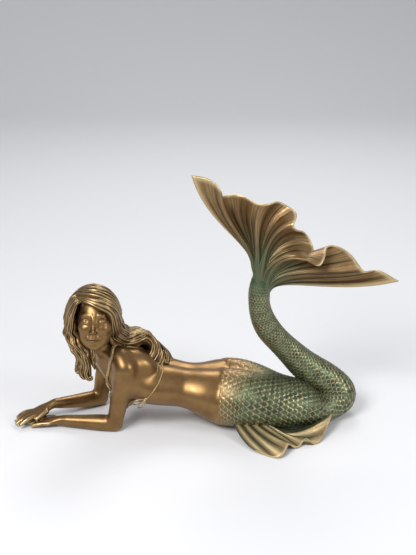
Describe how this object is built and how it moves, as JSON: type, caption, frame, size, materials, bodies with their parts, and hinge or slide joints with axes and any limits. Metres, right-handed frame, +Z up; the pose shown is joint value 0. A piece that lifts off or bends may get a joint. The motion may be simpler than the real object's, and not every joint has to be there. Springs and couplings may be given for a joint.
{
  "type": "mermaid figurine",
  "caption": "Cast figurine of a mermaid lying on her elbows, head turned to the viewer, with a scaled tail that curls up behind her to a wide ruffled fluke",
  "frame": {"origin": "bottom centre of the bounding box, on the surface the figurine stands on", "axes": "+Z up, +X towards the tail, -X towards the head and hands, the face looks towards -Y"},
  "size_m": [0.3034, 0.1121, 0.2033],
  "materials": {
    "bronze": "satin, brown-gold with a green patina on the scales and fins"
  },
  "bodies": {
    "root": {"mermaid": "bronze"}
  },
  "joints": []
}
